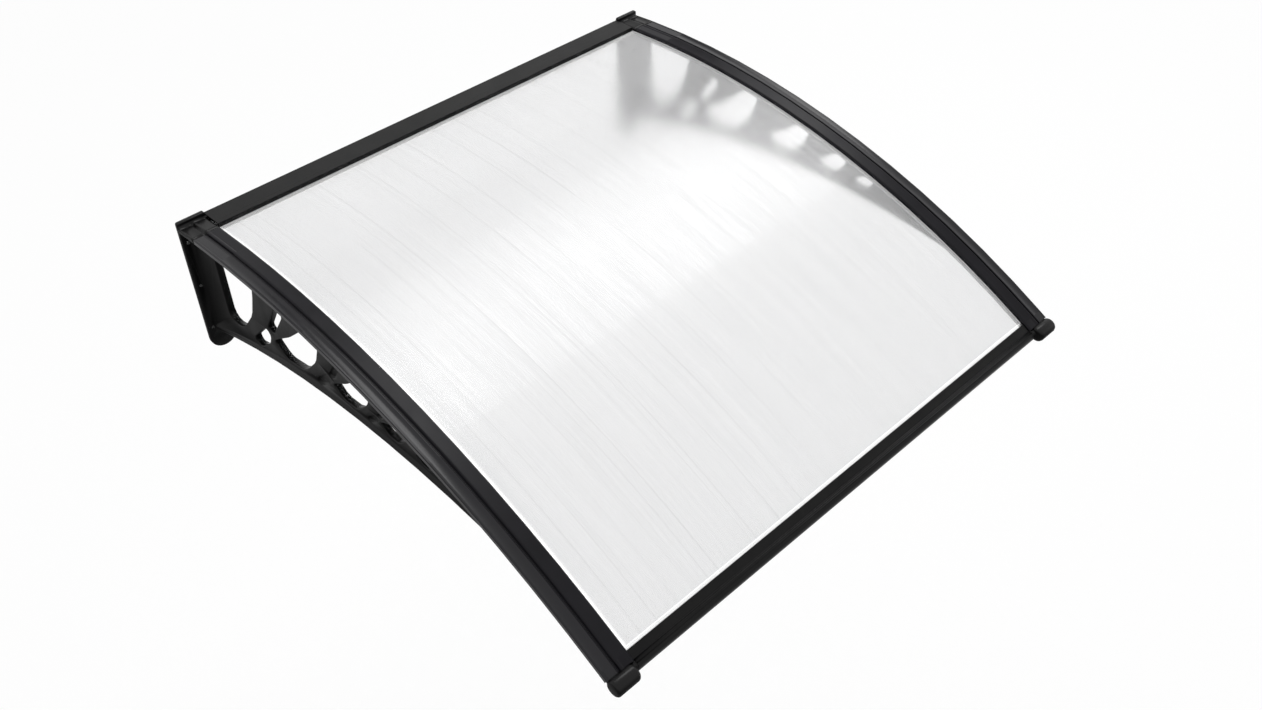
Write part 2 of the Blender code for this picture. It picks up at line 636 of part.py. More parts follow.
def roof_sheet():
    """Twin-wall sheet: two skins joined by ribs that run from the wall to the front."""
    left = OUTER_FACE + SHEET_EDGE
    width = -2 * left
    pitch = (width - SHEET_RIB) / FLUTES
    outer = [(left, -SHEET_BOTTOM), (-left, -SHEET_BOTTOM), (-left, -SHEET_DEPTH), (left, -SHEET_DEPTH)]
    low, high = -SHEET_BOTTOM + SHEET_SKIN, -SHEET_DEPTH - SHEET_SKIN
    cells = []
    for k in range(FLUTES):
        start = left + k * pitch + SHEET_RIB
        end = left + (k + 1) * pitch
        cells.append([(start, low), (end, low), (end, high), (start, high)])
    return swept("roof_sheet", [outer] + cells, RAIL_ARC, SHEET_START_ANGLE, SHEET_END_ANGLE)


def gasket():
    """Soft strip between the sheet's edge and the bracket's ledge."""
    start = SHEET_EDGE + GASKET_INSET
    section = [(start, -GASKET_TOP), (start + GASKET_WIDTH, -GASKET_TOP),
               (start + GASKET_WIDTH, -GASKET_TOP - GASKET_THICK), (start, -GASKET_TOP - GASKET_THICK)]
    return swept("left_gasket", [at_side(section)], RAIL_ARC, SHEET_START_ANGLE,
                 CLIP_ANGLE - GAP / RAIL_RADIUS)


def front_bar():
    """Extruded tube with two lips that clip over the sheet's front edge."""
    upper = TUBE_DEPTH - SHEET_DEPTH + GAP
    lower = TUBE_DEPTH - SHEET_BOTTOM - GAP
    first = -math.acos((upper + CLIP_LIP) / TUBE_RADIUS)
    last = 2 * math.pi - math.acos((lower - CLIP_LIP) / TUBE_RADIUS)
    around = [first + (last - first) * k / 18 for k in range(19)]
    outline = [(TUBE_RADIUS * math.sin(a), TUBE_RADIUS * math.cos(a)) for a in around]
    outline += [(-CLIP_LENGTH, lower - CLIP_LIP), (-CLIP_LENGTH, lower),
                (-math.sqrt(TUBE_RADIUS ** 2 - lower ** 2), lower),
                (-math.sqrt(TUBE_RADIUS ** 2 - upper ** 2), upper),
                (-CLIP_LENGTH, upper), (-CLIP_LENGTH, upper + CLIP_LIP)]
    inner = TUBE_RADIUS - TUBE_WALL
    turns = [math.pi * (k + 0.5) / 8 for k in range(16)]
    bore = [(inner * math.cos(turn), inner * math.sin(turn)) for turn in turns]
    sections = [[front_frame(*point) for point in section] for section in (outline, bore)]
    return board("front_bar", sections, 0.0, WIDTH - 2 * (RAIL_WIDTH + GAP))


def rear_bar():
    """Extruded bar with a closed chamber at the wall and a slot for the sheet's rear edge."""
    back, front = REAR_BAR_BACK, REAR_BAR_BACK + REAR_BAR_DEPTH
    chamber = back + REAR_CHAMBER_DEPTH
    top, low = REAR_BAR_HEIGHT / 2, -REAR_BAR_HEIGHT / 2
    wall = REAR_BAR_WALL
    over = height_on(RAIL_ARC, front, SHEET_DEPTH) + GAP
    under_front = height_on(RAIL_ARC, front, SHEET_BOTTOM) - GAP
    under_back = height_on(RAIL_ARC, chamber, SHEET_BOTTOM) - GAP
    outline = [(back, top), (front, top), (front, over), (front - wall, over), (front - wall, top - wall),
               (chamber, top - wall), (chamber, under_back), (front, under_front),
               (front, under_front - wall), (chamber, under_back - wall), (chamber, low), (back, low)]
    hollow = [(back + wall, low + wall), (chamber - wall, low + wall), (chamber - wall, top - wall),
              (back + wall, top - wall)]
    return board("rear_bar", [outline, hollow], 0.0, WIDTH - 2 * REAR_BAR_END)


def bar_screw_holes(bar, inset, low_at, high_at):
    """Clearance holes for the two screws near the ends of a bar."""
    holes = []
    for side in (-1, 1):
        x = side * (WIDTH / 2 - inset)
        holes.append(rod("bar_hole", PILOT_RADIUS, (x, -low_at[0], low_at[1]),
                         (x, -high_at[0], high_at[1]), 8, helpers))
    combine(bar, holes, "DIFFERENCE")


def screw(name, head_at, towards, grip):
    """Pan-head screw, its head's seat at head_at and its point along towards."""
    profile = [(0.0, -SCREW_HEAD_HEIGHT), (SCREW_HEAD_RADIUS * 0.8, -SCREW_HEAD_HEIGHT),
               (SCREW_HEAD_RADIUS, -SCREW_HEAD_HEIGHT * 0.4), (SCREW_HEAD_RADIUS, 0.0), (SCREW_RADIUS, 0.0),
               (SCREW_RADIUS, grip - SCREW_RADIUS), (0.0, grip)]
    return turned(name, profile, head_at, towards, 8)


def wall_seal():
    """Soft strip that closes the joint between the rear bar and the wall."""
    half = WIDTH / 2 - REAR_BAR_END
    return block("wall_seal", (-half, -SEAL_THICK, -SEAL_HEIGHT / 2), (half, 0.0, SEAL_HEIGHT / 2))


for old in list(bpy.data.objects):
    bpy.data.objects.remove(old)
bpy.context.scene.collection.children.link(parts)
bpy.context.scene.collection.children.link(helpers)

BLACK_PLASTIC = material("black_plastic", (0.030, 0.030, 0.032), 0.42)
STRIP_PLASTIC = material("strip_plastic", (0.040, 0.040, 0.043), 0.38)
BLACK_ALUMINIUM = material("black_aluminium", (0.018, 0.018, 0.019), 0.35)
CLEAR_SHEET = material("clear_sheet", (0.90, 0.92, 0.93), 0.15, alpha=0.45)
RUBBER = material("rubber", (0.020, 0.020, 0.020), 0.80)
STEEL = material("zinc_steel", (0.62, 0.62, 0.60), 0.35, 1.0)

left_bracket = bracket()
left_strip = cover_strip()
left_gasket = gasket()
made = {
    BLACK_PLASTIC: [left_bracket, mirrored(left_bracket, "right_bracket")],
    STRIP_PLASTIC: [left_strip, mirrored(left_strip, "right_cover_strip")],
    RUBBER: [left_gasket, mirrored(left_gasket, "right_gasket"), wall_seal()],
    CLEAR_SHEET: [roof_sheet()],
    BLACK_ALUMINIUM: [rear_bar(), front_bar()],
    STEEL: [],
}
rear, front = made[BLACK_ALUMINIUM]
REAR_SEAT = -REAR_BAR_HEIGHT / 2
bar_screw_holes(rear, REAR_BAR_END + BAR_SCREW_INSET, (TONGUE_MIDDLE, REAR_SEAT - OVERLAP),
                (TONGUE_MIDDLE, REAR_SEAT + REAR_BAR_WALL + OVERLAP))
bar_screw_holes(front, RAIL_WIDTH + BAR_SCREW_INSET, front_frame(0, -TUBE_RADIUS - OVERLAP),
                front_frame(0, -TUBE_RADIUS + TUBE_WALL + OVERLAP))


def out_of_rail(angle):
    """The direction square to the rail, away from its arc's centre."""
    return 0, -math.sin(angle), math.cos(angle)


for side, mark in (("left", 1), ("right", -1)):
    for k, angle in enumerate(strip_screw_angles()):
        x, y, z = along_normal(angle, STRIP_SCREW_ACROSS, -FLANGE_BOTTOM - GAP - ARC_SAG)
        name = f"{side}_strip_screw_{k + 1}"
        made[STEEL].append(screw(name, (mark * x, y, z), out_of_rail(angle), SCREW_GRIP))
    x = mark * across_at(REAR_BAR_END + BAR_SCREW_INSET)
    name = f"{side}_rear_bar_screw"
    made[STEEL].append(screw(name, (x, -TONGUE_MIDDLE, REAR_SEAT - GAP), (0, 0, 1), SCREW_GRIP))
    x = mark * across_at(RAIL_WIDTH + BAR_SCREW_INSET)
    seat = front_frame(0, -TUBE_RADIUS - GAP)
    name = f"{side}_front_bar_screw"
    made[STEEL].append(screw(name, (x, -seat[0], seat[1]), out_of_rail(TUBE_ANGLE), SCREW_GRIP))

for finish, pieces in made.items():
    for piece in pieces:
        piece.data.materials.clear()
        piece.data.materials.append(finish)
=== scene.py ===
import math

import bmesh
import bpy
import numpy as np
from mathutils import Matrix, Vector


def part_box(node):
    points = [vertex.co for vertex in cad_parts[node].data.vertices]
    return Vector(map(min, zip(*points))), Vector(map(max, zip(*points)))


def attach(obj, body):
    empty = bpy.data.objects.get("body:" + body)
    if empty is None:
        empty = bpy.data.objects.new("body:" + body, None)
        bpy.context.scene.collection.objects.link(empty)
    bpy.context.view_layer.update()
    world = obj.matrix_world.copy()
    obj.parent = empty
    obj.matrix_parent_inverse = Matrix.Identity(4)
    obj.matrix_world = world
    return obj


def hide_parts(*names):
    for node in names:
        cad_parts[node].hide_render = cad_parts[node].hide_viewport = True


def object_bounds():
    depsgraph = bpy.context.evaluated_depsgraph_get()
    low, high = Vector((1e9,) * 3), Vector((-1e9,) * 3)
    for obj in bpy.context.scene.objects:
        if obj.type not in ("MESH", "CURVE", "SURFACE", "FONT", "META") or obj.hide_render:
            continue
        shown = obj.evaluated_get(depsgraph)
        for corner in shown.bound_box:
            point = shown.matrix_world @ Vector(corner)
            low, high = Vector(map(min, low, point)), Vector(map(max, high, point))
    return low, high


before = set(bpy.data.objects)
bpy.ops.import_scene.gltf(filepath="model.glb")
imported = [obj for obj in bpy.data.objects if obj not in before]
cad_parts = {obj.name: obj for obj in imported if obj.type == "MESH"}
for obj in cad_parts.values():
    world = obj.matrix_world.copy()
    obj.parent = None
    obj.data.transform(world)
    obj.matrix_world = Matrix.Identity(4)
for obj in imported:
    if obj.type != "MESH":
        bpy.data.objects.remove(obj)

CAD_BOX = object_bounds()


# The brackets
# Two arched side arms with moulded-in scrollwork, wall plate and nose, one left and one right.
# Each is a single moulding in black weather-proof plastic, straight from a fine-etched mould,
# and hangs on the wall by screws through its plate.
def node_group(title, inputs, outputs):
    """A shader node group with these number inputs and these outputs; a grey output is a mask,
    a height or a share, and a vector output is a normal."""
    group = bpy.data.node_groups.new(title, "ShaderNodeTree")
    for label, value in inputs.items():
        socket = group.interface.new_socket(label, in_out="INPUT", socket_type="NodeSocketFloat")
        socket.default_value = value
    for label, kind in outputs.items():
        group.interface.new_socket(label, in_out="OUTPUT", socket_type=kind)
    return group, group.nodes.new("NodeGroupInput"), group.nodes.new("NodeGroupOutput")


def node(tree, kind, settings=None, **values):
    """A node of this kind in the tree, with its settings and the values of its named sockets."""
    made = tree.nodes.new(kind)
    for key, value in (settings or {}).items():
        setattr(made, key, value)
    for key, value in values.items():
        made.inputs[key.replace("_", " ")].default_value = value
    return made


def arithmetic(tree, operation, first, second, clamp=False):
    """The result of one Math node; either term is a socket or a number."""
    made = tree.nodes.new("ShaderNodeMath")
    made.operation = operation
    made.use_clamp = clamp
    for place, term in enumerate((first, second)):
        if isinstance(term, (int, float)):
            made.inputs[place].default_value = term
        else:
            tree.links.new(term, made.inputs[place])
    return made.outputs["Value"]


def spread(tree, value, low, high, to_low=0.0, to_high=1.0):
    """The value drawn out from the span low..high to the span to_low..to_high, held at its ends."""
    made = node(tree, "ShaderNodeMapRange")
    made.inputs["From Min"].default_value = low
    made.inputs["From Max"].default_value = high
    made.inputs["To Min"].default_value = to_low
    made.inputs["To Max"].default_value = to_high
    tree.links.new(value, made.inputs["Value"])
    return made.outputs["Result"]


def blended(tree, share, first, second):
    """A colour between two colours by the share, each a socket or a colour."""
    made = node(tree, "ShaderNodeMix", {"data_type": "RGBA"})
    tree.links.new(share, made.inputs["Factor"])
    for label, term in (("A", first), ("B", second)):
        socket = [s for s in made.inputs if s.name == label and s.type == "RGBA"][0]
        if isinstance(term, tuple):
            socket.default_value = term
        else:
            tree.links.new(term, socket)
    return [s for s in made.outputs if s.type == "RGBA"][0]


def on_axis(tree, vector, axis):
    """How far a vector reaches along X, Y or Z."""
    split = node(tree, "ShaderNodeSeparateXYZ")
    tree.links.new(vector, split.inputs["Vector"])
    return split.outputs[axis]


def cloudy_noise(tree, **values):
    """A noise over the piece's own coordinates, as a share."""
    place = node(tree, "ShaderNodeTexCoord")
    noise = node(tree, "ShaderNodeTexNoise", **values)
    tree.links.new(place.outputs["Object"], noise.inputs["Vector"])
    return noise.outputs["Fac"]


NOISE_SPAN = (0.3, 0.7)
FLECK_SHARE = 0.45
GRAIN_SPAN = (0.2, 1.4)


def moulded_grain_group():
    """Mould etching: a fine pebble grain as a height, and a broad cloudy mottle as a share."""
    group, given, put_out = node_group(
        "moulded_grain",
        {"Pebbles": 900.0, "Clouds": 22.0},
        {"Height": "NodeSocketFloat", "Mottle": "NodeSocketFloat"},
    )
    place = node(group, "ShaderNodeTexCoord")
    pebbles = node(group, "ShaderNodeTexVoronoi", {"feature": "SMOOTH_F1"})
    flecks = node(group, "ShaderNodeTexNoise", Detail=4.0, Roughness=0.6)
    clouds = node(group, "ShaderNodeTexNoise", Detail=5.0, Roughness=0.55)
    for texture in (pebbles, flecks, clouds):
        group.links.new(place.outputs["Object"], texture.inputs["Vector"])
    group.links.new(given.outputs["Pebbles"], pebbles.inputs["Scale"])
    fleck_scale = arithmetic(group, "MULTIPLY", given.outputs["Pebbles"], FLECK_SHARE)
    group.links.new(fleck_scale, flecks.inputs["Scale"])
    group.links.new(given.outputs["Clouds"], clouds.inputs["Scale"])
    bumps = arithmetic(group, "ADD", pebbles.outputs["Distance"], flecks.outputs["Fac"])
    group.links.new(spread(group, bumps, *GRAIN_SPAN), put_out.inputs["Height"])
    group.links.new(spread(group, clouds.outputs["Fac"], *NOISE_SPAN), put_out.inputs["Mottle"])
    return group


ARRIS_RADIUS = 0.0006
ARRIS_LEAN = (0.995, 0.90)
WORN_AND_HIGHLIT_PATCHES = (0.42, 0.68)


def worn_and_highlit_arris_group():
    """Broken arrises: the normal rounded over a small radius, and a patchy mask that is 1 where an
    edge is rubbed pale, and which on the mouldings also paints a highlight along the rounded edges. The
    mask begins where the cosine between the rounded normal and the drawn one falls to the first of two
    limits, and is full at the second."""
    group, given, put_out = node_group(
        "worn_and_highlit_arris",
        {"Radius": ARRIS_RADIUS, "Rubbing": 0.6},
        {"Normal": "NodeSocketVector", "Worn_and_highlight": "NodeSocketFloat"},
    )
    rounding = node(group, "ShaderNodeBevel", {"samples": 4})
    group.links.new(given.outputs["Radius"], rounding.inputs["Radius"])
    drawn = node(group, "ShaderNodeNewGeometry")
    lean = node(group, "ShaderNodeVectorMath", {"operation": "DOT_PRODUCT"})
    group.links.new(rounding.outputs["Normal"], lean.inputs[0])
    group.links.new(drawn.outputs["Normal"], lean.inputs[1])
    edge = spread(group, lean.outputs["Value"], *ARRIS_LEAN)
    patches = cloudy_noise(group, Scale=46.0, Detail=6.0, Roughness=0.65)
    rubbed_and_highlit = arithmetic(group, "MULTIPLY", edge, spread(group, patches, *WORN_AND_HIGHLIT_PATCHES))
    worn_and_highlit = arithmetic(group, "MULTIPLY", rubbed_and_highlit, given.outputs["Rubbing"], clamp=True)
    group.links.new(rounding.outputs["Normal"], put_out.inputs["Normal"])
    group.links.new(worn_and_highlit, put_out.inputs["Worn_and_highlight"])
    return group


DUST_GREY = (0.30, 0.29, 0.28, 1)
DUSTY_SLOPES = (0.35, 1.0)
DUST_DRIFTS = (0.35, 0.75)


def settled_dust_group():
    """Fine dust: a mask that grows as the surface turns upwards, broken up by a soft noise."""
    group, given, put_out = node_group(
        "settled_dust",
        {"Amount": 0.15},
        {"Dust": "NodeSocketFloat"},
    )
    facing = node(group, "ShaderNodeNewGeometry")
    upward = spread(group, on_axis(group, facing.outputs["Normal"], "Z"), *DUSTY_SLOPES)
    drift = cloudy_noise(group, Scale=14.0, Detail=8.0, Roughness=0.7)
    laid = arithmetic(group, "MULTIPLY", upward, spread(group, drift, *DUST_DRIFTS))
    dust = arithmetic(group, "MULTIPLY", laid, given.outputs["Amount"])
    group.links.new(dust, put_out.inputs["Dust"])
    return group


MOULDED_GRAIN = moulded_grain_group()
WORN_AND_HIGHLIT_ARRIS = worn_and_highlit_arris_group()
SETTLED_DUST = settled_dust_group()


def placed(tree, group, **values):
    """A copy of a node group in a material's tree, with its own input values."""
    made = tree.nodes.new("ShaderNodeGroup")
    made.node_tree = group
    for label, value in values.items():
        made.inputs[label].default_value = value
    return made


def bare_material(title):
    """A new material of this title: the material, its tree and its Principled shader."""
    material = bpy.data.materials.new(title)
    material.use_nodes = True
    return material, material.node_tree, material.node_tree.nodes["Principled BSDF"]


def darkened(colour, share):
    """The colour with only this share of its light."""
    return tuple(share * part for part in colour[:3]) + (1,)


def roughened(tree, shader, height, strength, depth, over=None):
    """Gives the shader a bump from this height, over another normal where one is given."""
    bump = node(tree, "ShaderNodeBump", Strength=strength, Distance=depth)
    tree.links.new(height, bump.inputs["Height"])
    if over is not None:
        tree.links.new(over, bump.inputs["Normal"])
    tree.links.new(bump.outputs["Normal"], shader.inputs["Normal"])


MOULDED_TONE = 0.72
ETCHING_STRENGTH = 0.5
ETCHING_DEPTH = 0.00003


def moulded_plastic(title, black, scuffed_and_highlight, roughness, sheen_level, dust, wear_and_highlight):
    """Etched black moulding: cloudy black, paler where dusty and along its edges, which are rubbed and
    carry a painted highlight, with a pebble bump over broken arrises. Its roughness is a span that
    follows the clouds."""
    material, tree, shader = bare_material(title)
    grain = placed(tree, MOULDED_GRAIN)
    arris = placed(tree, WORN_AND_HIGHLIT_ARRIS, Radius=ARRIS_RADIUS, Rubbing=wear_and_highlight)
    dusting = placed(tree, SETTLED_DUST, Amount=dust)
    clouded = blended(tree, grain.outputs["Mottle"], darkened(black, MOULDED_TONE), black)
    # The pale edge colour is rubbed wear and also a painted highlight on the rounded edges.
    rubbed_and_highlit = blended(tree, arris.outputs["Worn_and_highlight"], clouded, scuffed_and_highlight)
    dusty = blended(tree, dusting.outputs["Dust"], rubbed_and_highlit, DUST_GREY)
    tree.links.new(dusty, shader.inputs["Base Color"])
    satin = spread(tree, grain.outputs["Mottle"], 0, 1, *roughness)
    dulled = arithmetic(tree, "ADD", satin, dusting.outputs["Dust"], clamp=True)
    tree.links.new(dulled, shader.inputs["Roughness"])
    height = grain.outputs["Height"]
    roughened(tree, shader, height, ETCHING_STRENGTH, ETCHING_DEPTH, arris.outputs["Normal"])
    shader.inputs["Specular IOR Level"].default_value = sheen_level
    return material


UPWARD_SLOPES = (0.30, 0.65)
BAND_EDGE = 0.0005


def smooth_on_top(material, gloss, coat_roughness, starts_at):
    """A thin coat on the faces that look upwards, so that they are smoother than the rest; on each
    side it begins this far out from the middle of the canopy."""
    tree = material.node_tree
    shader = tree.nodes["Principled BSDF"]
    place = node(tree, "ShaderNodeTexCoord")
    outward = arithmetic(tree, "ABSOLUTE", on_axis(tree, place.outputs["Object"], "X"), 0.0)
    begins = spread(tree, outward, starts_at - BAND_EDGE, starts_at + BAND_EDGE, 0.0, gloss)
    facing = node(tree, "ShaderNodeNewGeometry")
    on_top = spread(tree, on_axis(tree, facing.outputs["Normal"], "Z"), *UPWARD_SLOPES)
    tree.links.new(arithmetic(tree, "MULTIPLY", begins, on_top), shader.inputs["Coat Weight"])
    shader.inputs["Coat Roughness"].default_value = coat_roughness


WELD_REACH = 1.0e-5
ARRIS_ANGLE = math.radians(32)


def drawn_from(name, finish, arris_angle=ARRIS_ANGLE):
    """Adds the finished piece over one CAD solid: its loose triangles welded into one skin, long
    curves shaded smooth and every edge over the arris angle kept crisp."""
    mesh = bpy.data.meshes.new(name.replace("_", "-"))
    skin = bmesh.new()
    skin.from_mesh(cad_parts[name].data)
    bmesh.ops.remove_doubles(skin, verts=skin.verts, dist=WELD_REACH)
    skin.to_mesh(mesh)
    skin.free()
    mesh.shade_smooth()
    mesh.set_sharp_from_angle(angle=arris_angle)
    mesh.materials.clear()
    mesh.materials.append(finish)
    piece = bpy.data.objects.new(name + "_skin", mesh)
    bpy.context.scene.collection.objects.link(piece)
    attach(piece, "root")
    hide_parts(name)


# On the brackets the pale edge colour is worn plastic and also a painted highlight on the rounded
# members of the scrollwork.
bracket_plastic = moulded_plastic(
    "bracket_plastic",
    black=(0.0035, 0.0034, 0.0036, 1),
    scuffed_and_highlight=(0.034, 0.033, 0.034, 1),
    roughness=(0.45, 0.56),
    sheen_level=0.06,
    dust=0.012,
    wear_and_highlight=0.6,
)
smooth_on_top(bracket_plastic, gloss=0.36, coat_roughness=0.22, starts_at=0.0)
for side in ("left", "right"):
    drawn_from(side + "_bracket", bracket_plastic)


# The two bars
# The rear bar runs along the wall and the front bar along the drip edge; both take the sheet in a slot.
# They are hollow aluminium extrusions in a black coat, sawn to length
# and screwed to the brackets at each end.
BAR_BLACK = (0.0034, 0.0034, 0.0036, 1)
BAR_RUBBED = (0.10, 0.10, 0.105, 1)
BAR_TONE = 0.7
BAR_ROUGHNESS = (0.27, 0.35)
BAR_SHEEN_LEVEL = 0.15
DIE_LINES = (1.2, 700.0, 700.0)
DIE_LINE_STRENGTH = 0.35
DIE_LINE_DEPTH = 0.00002


def drawn_lines(tree, stretch, **values):
    """A noise pulled out along the way that the bar or the sheet was drawn, as a share; the stretch
    is how fast it changes along X, Y and Z."""
    place = node(tree, "ShaderNodeTexCoord")
    along = node(tree, "ShaderNodeMapping", Scale=stretch)
    lines = node(tree, "ShaderNodeTexNoise", Scale=1.0, **values)
    tree.links.new(place.outputs["Object"], along.inputs["Vector"])
    tree.links.new(along.outputs["Vector"], lines.inputs["Vector"])
    return lines.outputs["Fac"]


def coated_aluminium():
    """Black coat over drawn metal: fine lines along the bar, a faint orange-peel, broken arrises."""
    material, tree, shader = bare_material("bar_coat")
    lines = drawn_lines(tree, DIE_LINES, Detail=3.0, Roughness=0.6)
    peel = placed(tree, MOULDED_GRAIN, Pebbles=420.0, Clouds=9.0)
    arris = placed(tree, WORN_AND_HIGHLIT_ARRIS, Radius=0.0004, Rubbing=0.35)
    dusting = placed(tree, SETTLED_DUST, Amount=0.03)
    lined = blended(tree, lines, darkened(BAR_BLACK, BAR_TONE), BAR_BLACK)
    rubbed_and_highlit = blended(tree, arris.outputs["Worn_and_highlight"], lined, BAR_RUBBED)
    dusty = blended(tree, dusting.outputs["Dust"], rubbed_and_highlit, DUST_GREY)
    tree.links.new(dusty, shader.inputs["Base Color"])
    gloss = spread(tree, lines, *NOISE_SPAN, *BAR_ROUGHNESS)
    tree.links.new(gloss, shader.inputs["Roughness"])
    relief = arithmetic(tree, "ADD", lines, peel.outputs["Height"])
    roughened(tree, shader, relief, DIE_LINE_STRENGTH, DIE_LINE_DEPTH, arris.outputs["Normal"])
    shader.inputs["Specular IOR Level"].default_value = BAR_SHEEN_LEVEL
    return material


bar_coat = coated_aluminium()
for bar in ("rear_bar", "front_bar"):
    drawn_from(bar, bar_coat)


# The seals
# A flat strip lies between the rear bar and the wall, and a slim one on each bracket's ledge
# carries the sheet's side edge. All are black rubber, extruded, matt and with a fine skin,
# and are stuck down or pressed between the pieces that they seal.
RUBBER_BLACK = (0.012, 0.012, 0.012, 1)
RUBBER_BLOOM = (0.030, 0.030, 0.029, 1)
RUBBER_ROUGHNESS = (0.72, 0.86)
RUBBER_SHEEN_LEVEL = 0.35
RUBBER_SKIN_STRENGTH = 0.6
RUBBER_SKIN_DEPTH = 0.00005


def seal_rubber():
    """Matt rubber: near black with a soft bloom in patches and a close, shallow skin texture."""
    material, tree, shader = bare_material("seal_rubber")
    grain = placed(tree, MOULDED_GRAIN, Pebbles=1500.0, Clouds=35.0)
    bloomed = blended(tree, grain.outputs["Mottle"], RUBBER_BLACK, RUBBER_BLOOM)
    tree.links.new(bloomed, shader.inputs["Base Color"])
    dull = spread(tree, grain.outputs["Mottle"], 0, 1, *RUBBER_ROUGHNESS)
    tree.links.new(dull, shader.inputs["Roughness"])
    roughened(tree, shader, grain.outputs["Height"], RUBBER_SKIN_STRENGTH, RUBBER_SKIN_DEPTH)
    shader.inputs["Specular IOR Level"].default_value = RUBBER_SHEEN_LEVEL
    return material


rubber = seal_rubber()
for seal in ("wall_seal", "left_gasket", "right_gasket"):
    drawn_from(seal, rubber)


# The roof sheet
# One twin-wall panel of clear polycarbonate: two thin skins held apart by ribs that run from wall to
# drip edge, so that water in the flutes drains forwards.
# It is extruded flat and sprung into its arc between the brackets and the cover strips.
ARC_CENTRE_REACH = 0.135
ARC_CENTRE_HEIGHT = -1.638
ARC_RADIUS = 1.6425
ARC_STEPS = 40
SHEET_THICKNESS = 0.005
SKIN = 0.0006
RIB = 0.0006
SEAM = 0.00005
FLUTE_PITCH = 0.0097
RIB_SHOWING = 0.09
RIB_SEED = 11
RIB_RARITY = 3
SHEET_HALF_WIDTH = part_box("roof_sheet")[1].x
SHEET_REAR_REACH = -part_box("roof_sheet")[1].y
SHEET_FRONT_REACH = -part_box("roof_sheet")[0].y


def arc_angle(reach):
    """The angle from the top of the arc at which the sheet's upper face is this far from the wall."""
    return math.asin((reach - ARC_CENTRE_REACH) / ARC_RADIUS)


def twin_wall(title):
    """Bars of oblong section carried along the arc: two wide flat ones are the skins, and a narrow
    one at each pitch is a rib. A corner at x across and depth d is carried to (x, -(centre reach +
    (radius - d) sin a), centre height + (radius - d) cos a), so each side of a bar is one row of
    quads. Each point keeps how strongly its bar shows: a skin fully, and each rib faintly, by a
    random share raised to a power, so that only a few ribs stand out, as on an uneven drawing."""
    flutes = round((2 * SHEET_HALF_WIDTH - RIB) / FLUTE_PITCH)
    left = -SHEET_HALF_WIDTH + (2 * SHEET_HALF_WIDTH - RIB) / flutes * np.arange(flutes + 1)
    rib_top, rib_foot = SKIN + SEAM, SHEET_THICKNESS - SKIN - SEAM
    skins = [(-SHEET_HALF_WIDTH, SHEET_HALF_WIDTH, 0.0, SKIN)]
    skins.append((-SHEET_HALF_WIDTH, SHEET_HALF_WIDTH, SHEET_THICKNESS - SKIN, SHEET_THICKNESS))
    ribs = np.stack([left, left + RIB, 0 * left + rib_top, 0 * left + rib_foot], axis=1)
    bars = np.concatenate([np.array(skins), ribs])
    across = bars[:, [0, 1, 1, 0]][:, None, :]
    radius = ARC_RADIUS - bars[:, [2, 2, 3, 3]][:, None, :]
    start, stop = arc_angle(SHEET_REAR_REACH), arc_angle(SHEET_FRONT_REACH)
    angle = np.linspace(start, stop, ARC_STEPS + 1)[None, :, None]
    reach = ARC_CENTRE_REACH + radius * np.sin(angle)
    height = ARC_CENTRE_HEIGHT + radius * np.cos(angle)
    corners = np.stack([across + 0 * reach, -reach, height], axis=-1)
    numbers = np.arange(corners[..., 0].size).reshape(corners.shape[:3])
    around = np.roll(numbers, -1, axis=2)
    sides = np.stack([numbers[:, :-1], numbers[:, 1:], around[:, 1:], around[:, :-1]], axis=-1)
    ends = np.concatenate([numbers[:, 0], numbers[:, -1, ::-1]])
    faces = np.concatenate([sides.reshape(-1, 4), ends])
    mesh = bpy.data.meshes.new(title)
    mesh.from_pydata(corners.reshape(-1, 3).tolist(), [], faces.tolist())
    chance = np.random.default_rng(RIB_SEED).random(len(left)) ** RIB_RARITY
    showing = np.concatenate([np.ones(len(skins)), RIB_SHOWING * chance])
    kept = mesh.attributes.new("showing", "FLOAT", "POINT")
    kept.data.foreach_set("value", np.repeat(showing, 4 * (ARC_STEPS + 1)).astype(np.float32))
    mesh.shade_smooth()
    mesh.set_sharp_from_angle(angle=ARRIS_ANGLE)
    return mesh


CLEAR_TINT = (0.998, 0.998, 1.0, 1)
STREAK_TINT = (0.969, 0.970, 0.974, 1)
STREAKS = (420.0, 4.5, 4.5)
STREAK_SPAN = (0.36, 0.64)
STREAK_STRENGTH = 0.3
STREAK_DEPTH = 0.0002
CLARITY = 0.865
SKIN_BENDING = 1.20
DRAWN_ROUGHNESS = (0.17, 0.25)
GLOSS_STREAKS = (0.40, 0.62)
GLOSS_WEIGHT = (0.00, 0.18)
GLOSS_ROUGHNESS = 0.04
UNLIT = (0, 0, 0, 1)
WHITE = (1.0, 1.0, 1.0, 1)
HELD_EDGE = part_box("right_cover_strip")[0].x
FRONT_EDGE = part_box("front_bar")[1].y
REAR_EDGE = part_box("rear_bar")[0].y
RIM = 0.0034
LEFT_RIM = 0.0075
FRONT_RIM = 0.45 * RIM
REAR_RIM = 2.2 * RIM
RIM_FADE = 0.5
RIM_END = 0.0005
RIM_GLOW = 0.14


